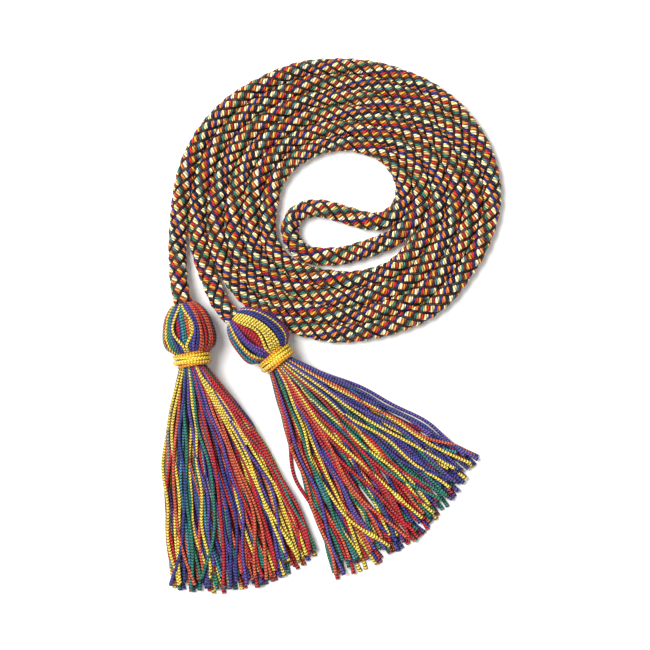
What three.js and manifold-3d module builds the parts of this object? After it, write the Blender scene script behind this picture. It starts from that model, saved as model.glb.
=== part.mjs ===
// Honor cord: one round braid, doubled in the middle and laid down as a flat double spiral, with a
// tassel on each end. Millimetres, +Z up, the surface that it lies on at z = 0.
import * as THREE from 'three';
import { mergeVertices } from 'three/addons/utils/BufferGeometryUtils.js';
import Module from 'manifold-3d';

const wasm = await Module();
wasm.setup();

// Driving dimensions
const CLEARANCE = 0.3;
const ROPE_WIDTH = 6.3;
const ROPE_SIDES = 8;
const COIL_RADIUS = 60;
const COIL_CENTRE = { x: 0.75, y: 45.2 };
const HEAD_LENGTH = 21.2;
const HEAD_WIDTH = 20;
const HEAD_HEIGHT = 15.4;
const HEAD_FLAT_DEPTH = 0.4;
const SOCKET_DEPTH = 8;
const WAIST_WIDTH = 11.4;
const WAIST_HEIGHT = 9.6;
const TIE_LENGTH = 5.2;
const TIE_THICKNESS = 1.3;
const TIE_TURNS = 5;
const SKIRT_LENGTH = 84.4;
const LOCK_HEIGHT = 3.2;
const ROUND_SIDES = 16;
const LOCK_SIDES = 6;

const LANE_PITCH = ROPE_WIDTH + CLEARANCE;
const AXIS_HEIGHT = HEAD_HEIGHT / 2 - HEAD_FLAT_DEPTH;

// The coil's outline, every 15 degrees clockwise from its left side: how far the outer side reaches, as
// a share of COIL_RADIUS, and how wide each lane of rope is, as a share of LANE_PITCH
const COIL_STEP_DEGREES = 15;
const COIL_OUTLINE = [
  { reach: 1.000, lane: 1.00 },
  { reach: 0.988, lane: 0.98 },
  { reach: 0.972, lane: 0.96 },
  { reach: 0.953, lane: 0.93 },
  { reach: 0.935, lane: 0.90 },
  { reach: 0.941, lane: 0.89 },
  { reach: 0.944, lane: 0.87 },
  { reach: 0.969, lane: 0.87 },
  { reach: 1.006, lane: 0.89 },
  { reach: 1.058, lane: 0.91 },
  { reach: 1.101, lane: 0.94 },
  { reach: 1.132, lane: 0.97 },
  { reach: 1.138, lane: 1.01 },
  { reach: 1.112, lane: 1.01 },
  { reach: 1.086, lane: 1.02 },
  { reach: 1.079, lane: 1.02 },
  { reach: 1.047, lane: 1.00 },
  { reach: 1.026, lane: 0.99 },
  { reach: 1.025, lane: 1.01 },
  { reach: 1.016, lane: 0.98 },
  { reach: 1.025, lane: 0.96 },
  { reach: 1.032, lane: 0.95 },
  { reach: 1.032, lane: 0.97 },
  { reach: 1.014, lane: 0.99 },
];

// Each end of the rope leaves the coil at its left side: offsets from the lane's own start, and how far
// the rope has risen towards the tassel's axis, as a share. The last row is the tassel's neck
const LEFT_LEAD = [
  { x: -0.7, y: -8.1, rise: 0 },
  { x: -1.1, y: -15.5, rise: 0 },
  { x: -0.9, y: -22.9, rise: 0.12 },
  { x: -0.4, y: -29.6, rise: 0.5 },
  { x: 0.5, y: -34.6, rise: 0.9 },
  { x: 1.1, y: -36.6, rise: 1 },
];
const RIGHT_LEAD = [
  { x: -0.3, y: -7.0, rise: 0 },
  { x: 0.0, y: -13.7, rise: 0 },
  { x: 1.5, y: -20.4, rise: 0 },
  { x: 3.4, y: -25.9, rise: 0.05 },
  { x: 5.6, y: -31.5, rise: 0.3 },
  { x: 8.5, y: -37.4, rise: 0.8 },
  { x: 10.6, y: -40.0, rise: 0.97 },
  { x: 12.4, y: -42.2, rise: 1 },
];

// The doubled middle of the rope turns back inside the coil: places from the coil's centre, as shares of
// the room inside the fourth lane
const MIDDLE_LOOP = [
  { x: 0.673, y: -0.370 },
  { x: 0.475, y: -0.464 },
  { x: 0.276, y: -0.530 },
  { x: 0.083, y: -0.579 },
  { x: -0.116, y: -0.589 },
  { x: -0.292, y: -0.568 },
  { x: -0.425, y: -0.469 },
  { x: -0.483, y: -0.320 },
  { x: -0.442, y: -0.166 },
  { x: -0.315, y: -0.075 },
  { x: -0.166, y: -0.061 },
  { x: -0.017, y: -0.088 },
  { x: 0.182, y: -0.149 },
  { x: 0.375, y: -0.199 },
  { x: 0.530, y: -0.193 },
  { x: 0.668, y: -0.116 },
];

// The head's outline from the neck, at 0, to the tie, at 1: half widths as shares of half HEAD_WIDTH
const HEAD_PROFILE = [
  { along: 0.00, reach: 0.46 },
  { along: 0.08, reach: 0.62 },
  { along: 0.24, reach: 0.82 },
  { along: 0.46, reach: 0.95 },
  { along: 0.68, reach: 1.00 },
  { along: 0.86, reach: 0.93 },
  { along: 0.97, reach: 0.74 },
];

// The skirt's locks of thread from its left edge, at 0, to its right edge, at 1: how far each reaches,
// as a share of the skirt, and its layer, 0 on the surface and 1 on top of the others
const LOCKS = [
  { side: 0.04, reach: 0.99, layer: 0 },
  { side: 0.12, reach: 0.97, layer: 0 },
  { side: 0.20, reach: 1.00, layer: 0 },
  { side: 0.28, reach: 0.98, layer: 0 },
  { side: 0.36, reach: 1.00, layer: 0 },
  { side: 0.44, reach: 0.97, layer: 0 },
  { side: 0.52, reach: 1.00, layer: 0 },
  { side: 0.60, reach: 0.98, layer: 0 },
  { side: 0.68, reach: 1.00, layer: 0 },
  { side: 0.76, reach: 0.96, layer: 0 },
  { side: 0.84, reach: 0.99, layer: 0 },
  { side: 0.92, reach: 0.95, layer: 0 },
  { side: 0.98, reach: 0.98, layer: 0 },
  { side: 0.16, reach: 0.90, layer: 1 },
  { side: 0.33, reach: 0.94, layer: 1 },
  { side: 0.50, reach: 0.92, layer: 1 },
  { side: 0.67, reach: 0.94, layer: 1 },
  { side: 0.85, reach: 0.88, layer: 1 },
];

// How each tassel lies: its turn about +Z from hanging along -Y, the neck's place from the waist as
// shares of HEAD_LENGTH, and the skirt's two edges, each bowed towards one point and ending at another,
// as shares of SKIRT_LENGTH. The middle locks reach past a straight line between the edges by bulge
const TASSELS = {
  left: {
    turn: 4.4,
    neck: { x: -0.08, y: 1.0 },
    leftEdge: { bow: { x: -0.194, y: -0.438 }, end: { x: -0.160, y: -0.989 } },
    rightEdge: { bow: { x: 0.357, y: -0.441 }, end: { x: 0.471, y: -0.905 } },
    bulge: 0.075,
  },
  right: {
    turn: 34,
    neck: { x: -0.24, y: 1.03 },
    leftEdge: { bow: { x: -0.180, y: -0.390 }, end: { x: -0.322, y: -0.940 } },
    rightEdge: { bow: { x: 0.307, y: -0.430 }, end: { x: 0.468, y: -0.861 } },
    bulge: 0.1,
  },
};

const MATERIALS = {
  braid: new THREE.MeshStandardMaterial({ name: 'braid', color: 0x7a4a35, roughness: 0.55, metalness: 0 }),
  thread: new THREE.MeshStandardMaterial({ name: 'thread', color: 0xb5433a, roughness: 0.5, metalness: 0 }),
  tie: new THREE.MeshStandardMaterial({ name: 'tie', color: 0xf2c230, roughness: 0.4, metalness: 0 }),
};

const mix = (a, b, share) => a + (b - a) * share;
const smooth = (share) => THREE.MathUtils.smoothstep(share, 0, 1);

// A prism of unit reach and unit depth, flat below and above, whose sections are then laid on stations
function prism(sides, steps) {
  const reach = 1 / Math.cos(Math.PI / sides);
  const corners = [];
  for (let i = 0; i < sides; i += 1) {
    const angle = ((i + 0.5) / sides) * Math.PI * 2 - Math.PI / 2;
    corners.push(new THREE.Vector2(Math.cos(angle) * reach, Math.sin(angle) * reach));
  }
  const section = new THREE.Shape(corners);
  const geometry = new THREE.ExtrudeGeometry(section, { depth: 1, steps, bevelEnabled: false });
  geometry.deleteAttribute('normal');
  geometry.deleteAttribute('uv');
  return geometry;
}

// Lays a prism's sections on stations, each with a place, a level direction across and two half sizes.
// Sections run towards +Z of the prism, so across x up has to point along the route
function layAlong(sides, sections) {
  const steps = sections.length - 1;
  const geometry = prism(sides, steps);
  const position = geometry.attributes.position;
  for (let i = 0; i < position.count; i += 1) {
    const station = sections[Math.round(position.getZ(i) * steps)];
    const across = position.getX(i) * station.halfWidth;
    position.setXYZ(
      i,
      station.place.x + station.across.x * across,
      station.place.y + station.across.y * across,
      station.place.z + position.getY(i) * station.halfHeight,
    );
  }
  return geometry;
}

// The level direction across a route at a place with this tangent
function acrossOf(tangent) {
  return new THREE.Vector2(-tangent.y, tangent.x).normalize();
}

// Joins a geometry's shared corners and leaves out triangles without area
const SAME_CORNER = 1e-4;

function solidOf(geometry) {
  const bare = geometry.clone();
  for (const name of Object.keys(bare.attributes)) {
    if (name !== 'position') bare.deleteAttribute(name);
  }
  const merged = mergeVertices(bare, SAME_CORNER);
  const kept = [];
  const index = merged.index.array;
  for (let i = 0; i < index.length; i += 3) {
    const [a, b, c] = [index[i], index[i + 1], index[i + 2]];
    if (a !== b && b !== c && c !== a) kept.push(a, b, c);
  }
  return new wasm.Manifold(new wasm.Mesh({
    numProp: 3,
    vertProperties: new Float32Array(merged.attributes.position.array),
    triVerts: new Uint32Array(kept),
  }));
}

// A solid without the closed hollows that are left between fused locks, which threads fill
function outerSkin(solid) {
  return solid.decompose().reduce((a, b) => (a.volume() > b.volume() ? a : b));
}

function geometryOf(solid) {
  const mesh = solid.getMesh();
  const geometry = new THREE.BufferGeometry();
  geometry.setAttribute('position', new THREE.BufferAttribute(mesh.vertProperties.slice(), 3));
  geometry.setIndex(new THREE.BufferAttribute(mesh.triVerts.slice(), 1));
  geometry.computeVertexNormals();
  return geometry;
}

// One column of the coil's outline at any azimuth, on a smooth closed curve through its rows
function outlineAt(column, azimuth) {
  const count = COIL_OUTLINE.length;
  const place = azimuth / COIL_STEP_DEGREES;
  const row = Math.floor(place);
  const t = place - row;
  const [a, b, c, d] = [-1, 0, 1, 2].map((k) => COIL_OUTLINE[(row + k + 2 * count) % count][column]);
  const curved = (2 * a - 5 * b + 4 * c - d) * t * t + (3 * b - a - 3 * c + d) * t * t * t;
  return b + 0.5 * ((c - a) * t + curved);
}

// How far a strand's centre is from the coil's centre: strand 0 is the outer of the two that lie side by
// side, strand 1 the inner. The azimuth goes on past 360 degrees, and each turn leads in by two lanes
function coilRadius(strand, azimuth) {
  const turns = Math.floor(azimuth / 360);
  const within = azimuth - turns * 360;
  const outer = COIL_RADIUS * outlineAt('reach', within) - 2 * LANE_PITCH * (within / 360);
  return outer - outlineAt('lane', within) * LANE_PITCH * (2 * turns + strand + 0.5);
}

// A place in the coil. Where the lane leans from a true circle, it is narrower than the radius tells
function coilPoint(strand, azimuth) {
  const radius = coilRadius(strand, azimuth);
  const slope = (coilRadius(strand, azimuth + 1) - radius) / THREE.MathUtils.degToRad(1);
  const lean = radius / Math.hypot(radius, slope);
  const angle = Math.PI - THREE.MathUtils.degToRad(azimuth);
  const x = COIL_CENTRE.x + radius * Math.cos(angle);
  const y = COIL_CENTRE.y + radius * Math.sin(angle);
  const lane = outlineAt('lane', azimuth % 360) * LANE_PITCH * lean;
  return { place: new THREE.Vector3(x, y, ROPE_WIDTH / 2), width: lane - CLEARANCE, steps: 1 };
}

const TURN_STEP = 10;
const FIRST_STRAND_END = 2 * 360 + 190;
const SECOND_STRAND_END = 2 * 360 + 180;

function strandPoints(strand, lastAzimuth) {
  const points = [];
  for (let azimuth = 0; azimuth <= lastAzimuth; azimuth += TURN_STEP) points.push(coilPoint(strand, azimuth));
  return points;
}

// The rope from its lane's start to the tassel's neck
function leadPlaces(strand, lead) {
  const start = coilPoint(strand, 0).place;
  return lead.map(({ x, y, rise }) => {
    const height = mix(ROPE_WIDTH / 2, AXIS_HEIGHT, rise);
    return new THREE.Vector3(start.x + x, start.y + y, height);
  });
}

// The same, and on into the tassel's socket
function leadPoints(strand, lead, tassel) {
  const places = leadPlaces(strand, lead);
  const into = headAxis(tassel).getTangent(0).rotateAround(new THREE.Vector2(), turnOf(tassel));
  const inside = new THREE.Vector3(into.x, into.y, 0).multiplyScalar(SOCKET_DEPTH);
  places.push(places[places.length - 1].clone().add(inside));
  return places.map((place) => ({ place, width: ROPE_WIDTH, steps: 1 }));
}

function loopPoints() {
  const room = COIL_RADIUS - 4 * LANE_PITCH;
  return MIDDLE_LOOP.map(({ x, y }) => ({
    place: new THREE.Vector3(COIL_CENTRE.x + x * room, COIL_CENTRE.y + y * room, ROPE_WIDTH / 2),
    width: ROPE_WIDTH,
    steps: 2,
  }));
}

// Where the tassel's axis goes inside its head: level, curved, from the neck to the tie
const HEAD_BEND_SHARE = 0.45;

function neckOf(tassel) {
  return new THREE.Vector2(tassel.neck.x, tassel.neck.y).multiplyScalar(HEAD_LENGTH);
}

function headAxis(tassel) {
  const neck = neckOf(tassel);
  const control = new THREE.Vector2(0, neck.y * HEAD_BEND_SHARE);
  return new THREE.QuadraticBezierCurve(neck, control, new THREE.Vector2(0, TIE_LENGTH / 2));
}

function turnOf(tassel) {
  return THREE.MathUtils.degToRad(tassel.turn);
}

// The whole rope's sections, from inside the left tassel to inside the right one
function ropeSections() {
  const points = [
    ...leadPoints(0, LEFT_LEAD, TASSELS.left).reverse(),
    ...strandPoints(0, FIRST_STRAND_END),
    ...loopPoints(),
    ...strandPoints(1, SECOND_STRAND_END).reverse(),
    ...leadPoints(1, RIGHT_LEAD, TASSELS.right),
  ];
  const route = new THREE.CatmullRomCurve3(points.map((point) => point.place), false, 'centripetal');
  const spans = points.length - 1;
  const sections = [];
  for (let i = 0; i <= spans; i += 1) {
    const pieces = i < spans ? points[i].steps : 1;
    for (let piece = 0; piece < pieces; piece += 1) {
      const share = piece / pieces;
      const next = points[Math.min(i + 1, spans)];
      sections.push({
        place: route.getPoint((i + share) / spans),
        across: acrossOf(route.getTangent((i + share) / spans)),
        halfWidth: mix(points[i].width, next.width, share) / 2,
        halfHeight: ROPE_WIDTH / 2,
      });
    }
  }
  return sections;
}

// The rope grown by the clearance all round and past both ends: what a neighbour has to keep clear of
function ropeRoom(sections) {
  const grown = sections.map((section) => ({
    ...section,
    halfWidth: section.halfWidth + CLEARANCE,
    halfHeight: section.halfHeight + CLEARANCE,
  }));
  const past = (end, before) => {
    const step = end.place.clone().sub(before.place).setLength(CLEARANCE);
    return { ...end, place: end.place.clone().add(step) };
  };
  const last = grown.length - 1;
  return [past(grown[0], grown[1]), ...grown, past(grown[last], grown[last - 1])];
}

// The head and the waist inside the tie, as one round form along the head's axis
function headSections(tassel) {
  const axis = headAxis(tassel);
  const rows = HEAD_PROFILE.map(({ along, reach }) => ({
    place: axis.getPoint(along),
    tangent: axis.getTangent(along),
    halfWidth: (reach * HEAD_WIDTH) / 2,
    halfHeight: (reach * HEAD_HEIGHT) / 2,
  }));
  const down = new THREE.Vector2(0, -1);
  const waist = { tangent: down, halfWidth: WAIST_WIDTH / 2, halfHeight: WAIST_HEIGHT / 2 };
  const half = TIE_LENGTH / 2 + CLEARANCE;
  rows.push({ ...waist, place: new THREE.Vector2(0, half) });
  rows.push({ ...waist, place: new THREE.Vector2(0, -half) });
  return rows.map((row) => ({
    ...row,
    place: new THREE.Vector3(row.place.x, row.place.y, AXIS_HEIGHT),
    across: acrossOf(row.tangent),
  }));
}

// Shares that shape a lock: where it starts across the waist, where it has fallen to the surface, how
// thick it is inside the waist, how its layers sit there and on the surface, their half widths, and how
// its tip narrows. The backing is one broad lock through the middle that the others are fused to
const START_SHARE = 0.36;
const FALL_SHARE = 0.5;
const WAIST_THICKNESS_SHARE = 0.2;
const WAIST_LAYERS = [-0.17, 0.25];
const SURFACE_LAYERS = [0.9, 2.1];
const LAYER_WIDTHS = [0.05, 0.068];
const BACKING = { side: 0.5, reach: 0.86, layer: 0, width: 0.44 };
const TIP_SHARE = 0.7;
const LOCK_STEPS = 6;
const TANGENT_STEP = 0.01;

function edgeCurve(edge, side) {
  const start = new THREE.Vector2(side * START_SHARE * WAIST_WIDTH, -TIE_LENGTH / 2);
  const at = ({ x, y }) => new THREE.Vector2(x * SKIRT_LENGTH, y * SKIRT_LENGTH);
  return new THREE.QuadraticBezierCurve(start, at(edge.bow), at(edge.end));
}

// One lock of threads: bundled at the waist, falling to the surface and opening out towards its end
function lockSections(tassel, { side, reach, layer, width }) {
  const left = edgeCurve(tassel.leftEdge, -1);
  const right = edgeCurve(tassel.rightEdge, 1);
  const bulge = 1 + tassel.bulge * Math.sin(Math.PI * side);
  const at = (share) => {
    const place = left.getPoint(share).lerp(right.getPoint(share), side);
    place.y *= mix(1, bulge, share);
    return place;
  };
  const sections = [];
  for (let i = 0; i <= LOCK_STEPS; i += 1) {
    const share = (reach * i) / LOCK_STEPS;
    const place = at(share);
    const spread = left.getPoint(share).distanceTo(right.getPoint(share));
    const fallen = smooth(share / FALL_SHARE);
    const tip = i === LOCK_STEPS ? TIP_SHARE : 1;
    const half = mix(WAIST_HEIGHT * WAIST_THICKNESS_SHARE, LOCK_HEIGHT / 2, fallen);
    const waistLevel = AXIS_HEIGHT + WAIST_LAYERS[layer] * WAIST_HEIGHT;
    sections.push({
      place: new THREE.Vector3(place.x, place.y, mix(waistLevel, half * SURFACE_LAYERS[layer], fallen)),
      across: acrossOf(at(share + TANGENT_STEP).sub(place)),
      halfWidth: spread * (width ?? LAYER_WIDTHS[layer]) * tip,
      halfHeight: half * tip,
    });
  }
  return sections;
}

// The tie: turns of thread wound round the waist, as one ring with a ridge for each turn
const GROOVE_SHARE = 0.75;

function tieGeometry() {
  const inner = WAIST_WIDTH / 2 / Math.cos(Math.PI / ROUND_SIDES) + CLEARANCE;
  const profile = [];
  const turnLength = TIE_LENGTH / TIE_TURNS;
  for (let turn = 0; turn < TIE_TURNS; turn += 1) {
    const start = -TIE_LENGTH / 2 + turn * turnLength;
    profile.push(new THREE.Vector2(inner + TIE_THICKNESS * GROOVE_SHARE, start));
    profile.push(new THREE.Vector2(inner + TIE_THICKNESS, start + turnLength / 2));
  }
  profile.push(new THREE.Vector2(inner + TIE_THICKNESS * GROOVE_SHARE, TIE_LENGTH / 2));
  profile.push(new THREE.Vector2(inner, TIE_LENGTH / 2));
  profile.push(new THREE.Vector2(inner, -TIE_LENGTH / 2));
  profile.push(profile[0].clone());
  const geometry = new THREE.LatheGeometry(profile, ROUND_SIDES, Math.PI / ROUND_SIDES);
  const innerHeight = WAIST_HEIGHT / 2 / Math.cos(Math.PI / ROUND_SIDES) + CLEARANCE;
  return geometry.scale(1, 1, innerHeight / inner);
}

const group = new THREE.Group();
const rope = ropeSections();
const cord = new THREE.Mesh(layAlong(ROPE_SIDES, rope), MATERIALS.braid);
cord.name = 'cord';
group.add(cord);

// A tassel hangs from its neck along its own -Y, so its waist is placed by the neck and the turn
function addTassel(name, tassel, neckPlace) {
  const seat = new THREE.Group();
  seat.rotation.z = turnOf(tassel);
  const neck = neckOf(tassel).rotateAround(new THREE.Vector2(), seat.rotation.z);
  seat.position.set(neckPlace.x - neck.x, neckPlace.y - neck.y, 0);
  seat.updateMatrixWorld();

  let body = solidOf(layAlong(ROUND_SIDES, headSections(tassel)));
  for (const lock of [BACKING, ...LOCKS]) {
    body = body.add(solidOf(layAlong(LOCK_SIDES, lockSections(tassel, lock))));
  }
  const reach = (HEAD_LENGTH + SKIRT_LENGTH) * 2;
  const below = new THREE.BoxGeometry(reach, reach, HEAD_HEIGHT).translate(0, 0, -HEAD_HEIGHT / 2);
  body = body.subtract(solidOf(below));
  const ropeHere = layAlong(ROPE_SIDES, ropeRoom(rope)).applyMatrix4(seat.matrixWorld.clone().invert());
  body = body.subtract(solidOf(ropeHere));

  const threads = new THREE.Mesh(geometryOf(outerSkin(body)), MATERIALS.thread);
  threads.name = `tassel_${name}`;
  seat.add(threads);

  const tie = new THREE.Mesh(tieGeometry(), MATERIALS.tie);
  tie.name = `tie_${name}`;
  tie.position.z = AXIS_HEIGHT;
  seat.add(tie);
  group.add(seat);
}

addTassel('left', TASSELS.left, leadPlaces(0, LEFT_LEAD).pop());
addTassel('right', TASSELS.right, leadPlaces(1, RIGHT_LEAD).pop());

export default group;
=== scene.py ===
"""Honor cord: one round multicolour braid, doubled and laid down as a flat double spiral, with a tassel
on each end. Metres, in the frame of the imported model, lying on the floor at z = 0."""

import math

import bpy
import numpy as np
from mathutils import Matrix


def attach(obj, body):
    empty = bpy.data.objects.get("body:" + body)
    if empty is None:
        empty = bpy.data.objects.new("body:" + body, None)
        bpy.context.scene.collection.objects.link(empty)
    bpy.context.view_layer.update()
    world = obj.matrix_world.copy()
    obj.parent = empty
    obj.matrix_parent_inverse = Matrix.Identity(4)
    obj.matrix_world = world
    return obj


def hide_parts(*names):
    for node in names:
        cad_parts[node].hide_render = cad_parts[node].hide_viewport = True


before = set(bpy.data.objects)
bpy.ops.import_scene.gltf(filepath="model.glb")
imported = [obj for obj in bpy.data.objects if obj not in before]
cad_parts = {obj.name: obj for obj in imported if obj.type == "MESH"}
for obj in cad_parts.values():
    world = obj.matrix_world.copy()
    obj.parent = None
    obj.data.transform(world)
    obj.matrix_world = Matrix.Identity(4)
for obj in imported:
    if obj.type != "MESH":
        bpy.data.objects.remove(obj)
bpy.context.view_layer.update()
bpy.ops.object.select_all(action="DESELECT")

MM = 0.001

# The camera looks straight down, as on a copy stand, from far enough off that the tassels look no larger
# than the coil. The image is square, and the cord lies a little right of its middle
CAMERA_HEIGHT = 1.6
SEEN_WIDTH = 240.5 * MM
SEEN_CENTRE = (-2.55 * MM, 0.1 * MM)
SENSOR_WIDTH_MM = 36

camera = bpy.data.cameras.new("copy_stand_camera")
camera.sensor_width = SENSOR_WIDTH_MM
camera.lens = SENSOR_WIDTH_MM * CAMERA_HEIGHT / SEEN_WIDTH
camera.clip_end = 10 * CAMERA_HEIGHT
camera_stand = bpy.data.objects.new("copy_stand_camera", camera)
camera_stand.location = (*SEEN_CENTRE, CAMERA_HEIGHT)
bpy.context.scene.collection.objects.link(camera_stand)
bpy.context.scene.camera = camera_stand

# A broad soft lamp stands to the upper left and a pale room fills the shadows. Colours are shown as they
# are, so that a lit white surface is white
LAMP_STRENGTH = 4.2
LAMP_WIDTH_DEGREES = 34
LAMP_FROM_LEFT_DEGREES = -30
LAMP_FROM_ABOVE_DEGREES = -14
ROOM_STRENGTH = 0.62

lamp = bpy.data.lights.new("soft_lamp", "SUN")
lamp.energy = LAMP_STRENGTH
lamp.angle = math.radians(LAMP_WIDTH_DEGREES)
lamp_stand = bpy.data.objects.new("soft_lamp", lamp)
lamp_stand.rotation_euler = (math.radians(LAMP_FROM_ABOVE_DEGREES), math.radians(LAMP_FROM_LEFT_DEGREES), 0)
bpy.context.scene.collection.objects.link(lamp_stand)

room = bpy.data.worlds.new("pale_room")
room.use_nodes = True
room.node_tree.nodes["Background"].inputs["Color"].default_value = (1, 1, 1, 1)
room.node_tree.nodes["Background"].inputs["Strength"].default_value = ROOM_STRENGTH
bpy.context.scene.world = room
bpy.context.scene.view_settings.view_transform = "Standard"


# The floor is a seamless sheet of white photographic paper, larger than any view of the cord
FLOOR_WIDTH = 6.0
PAPER_COLOUR = "#F8F8F7"


def linear_colour(sheet_colour):
    """An sRGB hex colour as the linear red, green, blue and alpha that a shader takes."""
    channels = [int(sheet_colour[i : i + 2], 16) / 255 for i in (1, 3, 5)]
    linear = [c / 12.92 if c <= 0.04045 else ((c + 0.055) / 1.055) ** 2.4 for c in channels]
    return (*linear, 1.0)


def add_node(tree, kind, settings=None, links=None):
    """Adds a node, sets its options and unlinked inputs, and links outputs of others to its inputs."""
    made = tree.nodes.new(kind)
    for name, value in (settings or {}).items():
        if isinstance(name, str) and hasattr(made, name):
            setattr(made, name, value)
        else:
            made.inputs[name].default_value = value
    for name, output in (links or {}).items():
        tree.links.new(output, made.inputs[name])
    return made


bpy.ops.mesh.primitive_plane_add(size=FLOOR_WIDTH)
floor = bpy.context.object
floor.name = "paper_floor"
paper = bpy.data.materials.new("matt_white_paper")
paper.use_nodes = True
paper_shader = paper.node_tree.nodes["Principled BSDF"]
paper_shader.inputs["Base Color"].default_value = linear_colour(PAPER_COLOUR)
paper_shader.inputs["Roughness"].default_value = 0.9
paper_shader.inputs["Specular IOR Level"].default_value = 0.1
floor.data.materials.append(paper)
bpy.ops.object.select_all(action="DESELECT")


# The cord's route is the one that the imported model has: each end leaves its tassel, joins the coil at its
# left side and winds in beside the other, and the doubled middle turns back inside the coil
ROPE_WIDTH = 6.3 * MM
LANE_GAP = 0.3 * MM
LANE_PITCH = ROPE_WIDTH + LANE_GAP
COIL_RADIUS = 60 * MM
COIL_CENTRE = np.array([0.75, 45.2]) * MM
SOCKET_DEPTH = 8 * MM
HEAD_HEIGHT = 15.4 * MM
HEAD_FLAT_DEPTH = 0.4 * MM
AXIS_HEIGHT = HEAD_HEIGHT / 2 - HEAD_FLAT_DEPTH

# Every 15 degrees clockwise from the left side: how far the coil's outer side reaches, as a share of its
# radius, and how wide each lane of rope is, as a share of the lane pitch
COIL_STEP_DEGREES = 15
COIL_REACH = [
    1.000, 0.988, 0.972, 0.953, 0.935, 0.941, 0.944, 0.969, 1.006, 1.058, 1.101, 1.132,
    1.138, 1.112, 1.086, 1.079, 1.047, 1.026, 1.025, 1.016, 1.025, 1.032, 1.032, 1.014,
]
COIL_LANE = [
    1.00, 0.98, 0.96, 0.93, 0.90, 0.89, 0.87, 0.87, 0.89, 0.91, 0.94, 0.97,
    1.01, 1.01, 1.02, 1.02, 1.00, 0.99, 1.01, 0.98, 0.96, 0.95, 0.97, 0.99,
]
TURN_STEP_DEGREES = 10
STRAND_ENDS_DEGREES = (2 * 360 + 190, 2 * 360 + 180)

# Offsets from the lane's start in millimetres, and the share of the way up to the tassel's axis
LEFT_LEAD = [
    (-0.7, -8.1, 0), (-1.1, -15.5, 0), (-0.9, -22.9, 0.12),
    (-0.4, -29.6, 0.5), (0.5, -34.6, 0.9), (1.1, -36.6, 1),
]
RIGHT_LEAD = [
    (-0.3, -7.0, 0), (0.0, -13.7, 0), (1.5, -20.4, 0), (3.4, -25.9, 0.05),
    (5.6, -31.5, 0.3), (8.5, -37.4, 0.8), (10.6, -40.0, 0.97), (12.4, -42.2, 1),
]
# Places from the coil's centre, as shares of the room inside the fourth lane
MIDDLE_LOOP = [
    (0.673, -0.370), (0.475, -0.464), (0.276, -0.530), (0.083, -0.579), (-0.116, -0.589),
    (-0.292, -0.568), (-0.425, -0.469), (-0.483, -0.320), (-0.442, -0.166), (-0.315, -0.075),
    (-0.166, -0.061), (-0.017, -0.088), (0.182, -0.149), (0.375, -0.199), (0.530, -0.193),
    (0.668, -0.116),
]

# How each tassel lies: its turn in degrees from hanging along -Y, and its neck's place from its waist as
# shares of the head's length
HEAD_LENGTH = 21.2 * MM
TIE_LENGTH = 5.2 * MM
HEAD_BEND_SHARE = 0.45
TASSEL_TURNS = {"left": 4.4, "right": 34.0}
TASSEL_NECKS = {"left": (-0.08, 1.0), "right": (-0.24, 1.03)}


def around_coil(column, degrees):
    """A row of the coil's table at any angle, on a smooth closed curve through its values."""
    place = degrees / COIL_STEP_DEGREES
    row = math.floor(place)
    t = place - row
    a, b, c, d = (column[(row + k) % len(column)] for k in (-1, 0, 1, 2))
    curved = (2 * a - 5 * b + 4 * c - d) * t * t + (3 * b - a - 3 * c + d) * t * t * t
    return b + 0.5 * ((c - a) * t + curved)


def coil_radius(strand, degrees):
    """How far a strand's centre is from the coil's: strand 0 is the outer of the two side by side."""
    turns, within = divmod(degrees, 360)
    outer = COIL_RADIUS * around_coil(COIL_REACH, within) - 2 * LANE_PITCH * within / 360
    return outer - around_coil(COIL_LANE, within) * LANE_PITCH * (2 * turns + strand + 0.5)


def coil_point(strand, degrees):
    """A place on the rope in the coil, and how wide the rope is pressed there."""
    radius = coil_radius(strand, degrees)
    slope = (coil_radius(strand, degrees + 1) - radius) / math.radians(1)
    lean = radius / math.hypot(radius, slope)
    angle = math.pi - math.radians(degrees)
    width = around_coil(COIL_LANE, degrees % 360) * LANE_PITCH * lean - LANE_GAP
    x, y = COIL_CENTRE + radius * np.array([math.cos(angle), math.sin(angle)])
    return (x, y, ROPE_WIDTH / 2, width)


def turned(places, degrees):
    """Flat places turned about the origin."""
    c, s = math.cos(math.radians(degrees)), math.sin(math.radians(degrees))
    return np.asarray(places) @ np.array([[c, s], [-s, c]])


def lead_points(strand, lead, side):
    """The rope from its lane's start to the tassel's neck, and on into its socket."""
    start = coil_point(strand, 0)
    points = []
    for x, y, rise in lead:
        height = ROPE_WIDTH / 2 + (AXIS_HEIGHT - ROPE_WIDTH / 2) * rise
        points.append((start[0] + x * MM, start[1] + y * MM, height, ROPE_WIDTH))
    neck = np.array(TASSEL_NECKS[side])
    into = turned(np.array([0, neck[1] * HEAD_BEND_SHARE]) - neck, TASSEL_TURNS[side])
    inside = into / np.linalg.norm(into) * SOCKET_DEPTH
    x, y, z, width = points[-1]
    points.append((x + inside[0], y + inside[1], z, width))
    return points


left_lead = lead_points(0, LEFT_LEAD, "left")
right_lead = lead_points(1, RIGHT_LEAD, "right")
strands = [
    [coil_point(strand, degrees) for degrees in range(0, end + 1, TURN_STEP_DEGREES)]
    for strand, end in enumerate(STRAND_ENDS_DEGREES)
]
loop_room = COIL_RADIUS - 4 * LANE_PITCH
loop = [
    (COIL_CENTRE[0] + x * loop_room, COIL_CENTRE[1] + y * loop_room, ROPE_WIDTH / 2, ROPE_WIDTH)
    for x, y in MIDDLE_LOOP
]
route_points = np.array(left_lead[::-1] + strands[0] + loop + strands[1][::-1] + right_lead)
necks = {"left": np.array(left_lead[-2][:3]), "right": np.array(right_lead[-2][:3])}


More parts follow.
